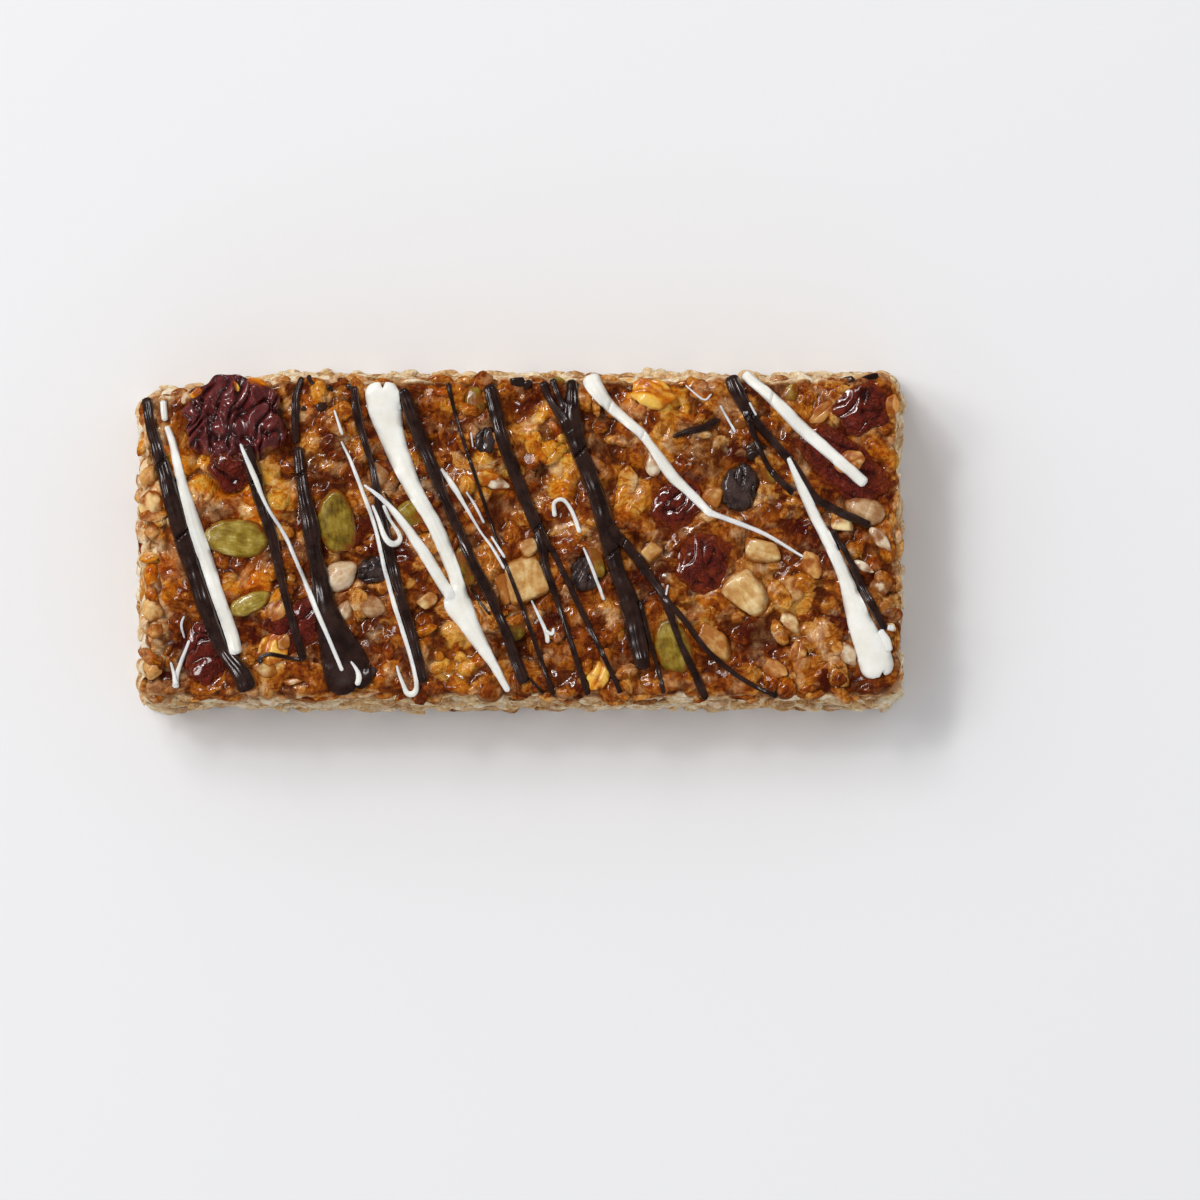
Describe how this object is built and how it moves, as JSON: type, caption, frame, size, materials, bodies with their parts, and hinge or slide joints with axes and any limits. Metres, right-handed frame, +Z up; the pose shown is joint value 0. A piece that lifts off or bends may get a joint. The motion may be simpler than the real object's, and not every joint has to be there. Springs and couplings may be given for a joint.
{
  "type": "granola bar",
  "caption": "Rectangular bar of pressed oats, puffed grain, seeds, nuts and dried fruit under a glossy glaze, with dark and white drizzle across its top.",
  "frame": {"origin": "middle of the flat underside that the bar rests on", "axes": "+X along the bar's length, +Y across it towards the edge where the drizzle starts, +Z up"},
  "size_m": [0.1104, 0.0484, 0.0213],
  "materials": {
    "granola": "glossy sticky glaze over baked oats on top, drier and paler at the sides",
    "cherry": "glossy wrinkled dried cherry skin",
    "fruit": "glossy dark red dried fruit",
    "raisin": "finely wrinkled dark raisin skin",
    "pumpkin_seed": "olive green seed under a thin glaze",
    "nut": "cream nut flesh under a thin glaze",
    "dark_drizzle": "satin dark chocolate, set hard",
    "white_drizzle": "satin white icing, set hard"
  },
  "bodies": {
    "root": {"granola_mass": "granola", "dried_cherry": "cherry", "fruit_below_cherry": "fruit", "fruit_front_left": "fruit", "fruit_left": "fruit", "fruit_middle": "fruit", "fruit_flat": "fruit", "fruit_right": "fruit", "fruit_corner": "fruit", "raisin_left": "raisin", "raisin_middle": "raisin", "raisin_right": "raisin", "pumpkin_seed_1": "pumpkin_seed", "pumpkin_seed_2": "pumpkin_seed", "pumpkin_seed_3": "pumpkin_seed", "pumpkin_seed_4": "pumpkin_seed", "sunflower_kernel": "nut", "almond_slice": "nut", "bean_shaped_nut": "nut", "nut_chip_middle": "nut", "nut_chip_large": "nut", "nut_chip_small": "nut", "dark_strand_1": "dark_drizzle", "dark_strand_2": "dark_drizzle", "dark_strand_3": "dark_drizzle", "dark_strand_4": "dark_drizzle", "dark_strand_5": "dark_drizzle", "dark_strand_6": "dark_drizzle", "dark_strand_7": "dark_drizzle", "dark_strand_8": "dark_drizzle", "white_strand_1": "white_drizzle", "white_strand_2": "white_drizzle", "white_strand_3": "white_drizzle", "white_strand_4": "white_drizzle", "white_strand_5": "white_drizzle"}
  },
  "joints": []
}
